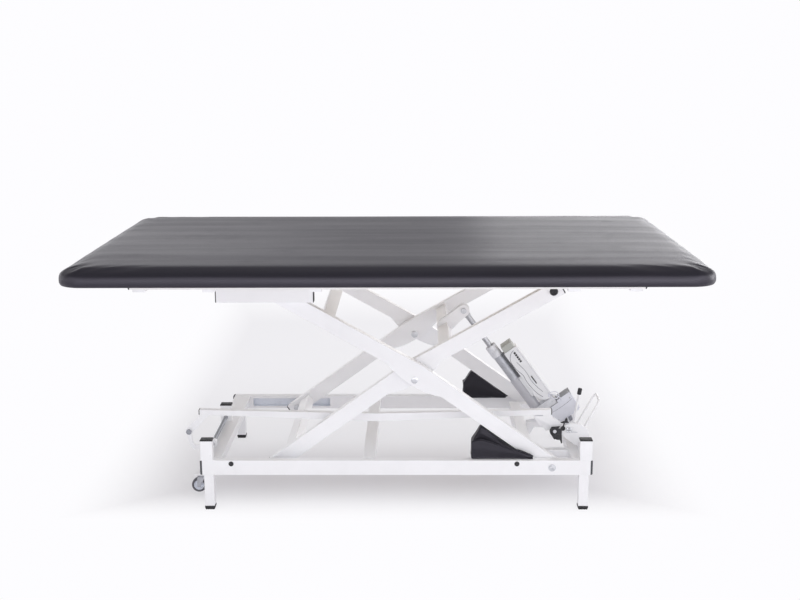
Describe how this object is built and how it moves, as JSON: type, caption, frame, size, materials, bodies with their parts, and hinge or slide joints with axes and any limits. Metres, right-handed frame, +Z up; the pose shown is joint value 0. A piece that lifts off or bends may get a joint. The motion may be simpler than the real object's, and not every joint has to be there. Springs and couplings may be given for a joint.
{
  "type": "bobath table",
  "caption": "Wide upholstered treatment table on a bent-arm scissor lift with a linear actuator, slotted roller rails and a foot control linkage.",
  "frame": {"origin": "on the floor under the centre of the pad", "axes": "+Z up, +X along the length towards the actuator end, the side with the foot control bar is -Y"},
  "size_m": [2, 1.2, 0.8404],
  "materials": {
    "white_powder_coat": "smooth satin white powder coat",
    "black_plastic": "moulded black plastic",
    "dark_grey_plastic": "moulded dark grey plastic",
    "zinc_steel": "bright zinc",
    "track_steel": "rolled steel strip",
    "guard_vinyl": "black vinyl guard",
    "black_steel": "blackened steel",
    "plywood": "birch plywood",
    "black_vinyl": "black grained vinyl upholstery over foam",
    "roller_plastic": "nylon",
    "grey_aluminium": "anodised grey",
    "grey_cast": "painted casting",
    "grey_plastic": "moulded light grey",
    "pale_plastic": "moulded pale grey",
    "box_end_plastic": "moulded grey",
    "bright_steel": "ground steel",
    "castor_steel": "dark grey",
    "castor_tyre": "dark grey tread on a pale hub"
  },
  "bodies": {
    "base": {"near_rail": "white_powder_coat", "far_rail": "white_powder_coat", "end_members": "white_powder_coat", "middle_members": "white_powder_coat", "actuator_stringers": "white_powder_coat", "legs": "white_powder_coat", "feet": "black_plastic", "rail_end_caps": "dark_grey_plastic", "end_posts": "white_powder_coat", "post_caps": "black_plastic", "rail_plugs": "black_plastic", "lower_pivot_bolts": "zinc_steel", "lower_track_liners": "track_steel", "actuator_bracket": "white_powder_coat", "castor_brackets": "white_powder_coat", "near_guard": "guard_vinyl", "far_guard": "guard_vinyl", "bearing_screws": "zinc_steel"},
    "outer_arms": {"outer_arm_near": "white_powder_coat", "outer_arm_far": "white_powder_coat", "outer_cross_tubes": "white_powder_coat", "outer_arm_caps": "black_plastic", "centre_bolts": "zinc_steel", "upper_roller_axles": "zinc_steel"},
    "inner_arms": {"inner_arm_near": "white_powder_coat", "inner_arm_far": "white_powder_coat", "inner_cross_tubes": "white_powder_coat", "inner_arm_caps": "black_plastic", "actuator_lugs": "white_powder_coat", "lug_bolts": "zinc_steel", "lower_roller_axles": "zinc_steel"},
    "top": {"top_side_rails": "white_powder_coat", "top_cross_tubes": "white_powder_coat", "top_frame_caps": "black_plastic", "upper_tracks": "white_powder_coat", "upper_track_liners": "track_steel", "upper_pivot_lugs": "white_powder_coat", "upper_pivot_bolts": "black_steel", "pad_board": "plywood", "pad": "black_vinyl"},
    "upper_rollers": {"upper_rollers": "roller_plastic"},
    "lower_rollers": {"lower_rollers": "roller_plastic"},
    "actuator_body": {"actuator_tube": "grey_aluminium", "gear_housing": "grey_cast", "motor_housing": "grey_plastic", "control_box": "pale_plastic", "control_box_end": "box_end_plastic"},
    "piston": {"actuator_rod": "bright_steel"},
    "right_crank": {"right_rocker": "white_powder_coat", "crank_adjuster": "black_steel", "loop_pedal": "white_powder_coat"},
    "left_crank": {"left_rocker": "white_powder_coat"},
    "link": {"link_bar": "white_powder_coat", "link_bar_caps": "black_plastic", "link_bearing_block": "black_plastic"},
    "lever": {"rod_lever": "white_powder_coat"},
    "near_castor": {"castor_fork_near": "castor_steel"},
    "far_castor": {"castor_fork_far": "castor_steel"},
    "near_wheel": {"castor_wheel_near": "castor_tyre"},
    "far_wheel": {"castor_wheel_far": "castor_tyre"}
  },
  "joints": [
    {"name": "outer_arm_lift", "type": "hinge", "parent": "base", "child": "outer_arms", "pos_m": [0.534, 0, 0.1445], "axis": [0, 1, 0], "range_deg": [-18.58, 6.92], "deforming": ["near_guard", "far_guard"]},
    {"name": "scissor_fold", "type": "hinge", "parent": "outer_arms", "child": "inner_arms", "pos_m": [0.08519, 0, 0.432], "axis": [0, 1, 0], "range_deg": [-13.94, 37.26]},
    {"name": "top_level", "type": "hinge", "parent": "inner_arms", "child": "top", "pos_m": [0.534, 0, 0.7195], "axis": [0, 1, 0], "range_deg": [-18.68, 7.02]},
    {"name": "upper_roller_spin", "type": "hinge", "parent": "outer_arms", "child": "upper_rollers", "pos_m": [-0.36362, 0, 0.7195], "axis": [0, 1, 0], "continuous": true},
    {"name": "lower_roller_spin", "type": "hinge", "parent": "inner_arms", "child": "lower_rollers", "pos_m": [-0.36362, 0, 0.1445], "axis": [0, 1, 0], "continuous": true},
    {"name": "actuator_tilt", "type": "hinge", "parent": "base", "child": "actuator_body", "pos_m": [0.56, 0, 0.176], "axis": [0, 1, 0], "range_deg": [-20.8, 7.81]},
    {"name": "piston_stroke", "type": "slide", "parent": "actuator_body", "child": "piston", "axis": [-0.5921, 0, 0.8059], "range_m": [-0.1309, 0.0491]},
    {"name": "foot_control", "type": "hinge", "parent": "base", "child": "right_crank", "pos_m": [0.644, 0, 0.186], "axis": [0, 1, 0], "range_deg": [-7, 7], "stiffness_Nm_per_rad": 12},
    {"name": "left_crank_turn", "type": "hinge", "parent": "base", "child": "left_crank", "pos_m": [-0.596, 0, 0.186], "axis": [0, 1, 0], "range_deg": [-7.1, 7.1]},
    {"name": "link_pin", "type": "hinge", "parent": "left_crank", "child": "link", "pos_m": [-0.674, 0, 0.228], "axis": [0, 1, 0], "range_deg": [-7.1, 7.1]},
    {"name": "lever_turn", "type": "hinge", "parent": "base", "child": "lever", "pos_m": [0.644, -0.05, 0.186], "axis": [0, 1, 0], "range_deg": [-8, 12]},
    {"name": "near_castor_swivel", "type": "hinge", "parent": "base", "child": "near_castor", "pos_m": [-0.634, -0.26, 0.08], "axis": [0, 0, 1], "continuous": true},
    {"name": "near_castor_roll", "type": "hinge", "parent": "near_castor", "child": "near_wheel", "pos_m": [-0.646, -0.26, 0.041], "axis": [0, 1, 0], "continuous": true},
    {"name": "far_castor_swivel", "type": "hinge", "parent": "base", "child": "far_castor", "pos_m": [-0.634, 0.26, 0.08], "axis": [0, 0, 1], "continuous": true},
    {"name": "far_castor_roll", "type": "hinge", "parent": "far_castor", "child": "far_wheel", "pos_m": [-0.646, 0.26, 0.041], "axis": [0, 1, 0], "continuous": true}
  ],
  "couplings": [
    {"joint": "scissor_fold", "follows": "outer_arm_lift", "ratio": -2},
    {"joint": "top_level", "follows": "outer_arm_lift", "ratio": 1},
    {"joint": "actuator_tilt", "follows": "outer_arm_lift", "ratio": 1.114},
    {"joint": "piston_stroke", "follows": "outer_arm_lift", "m_per_rad": 0.402},
    {"joint": "left_crank_turn", "follows": "foot_control", "ratio": 1},
    {"joint": "link_pin", "follows": "foot_control", "ratio": -1}
  ]
}
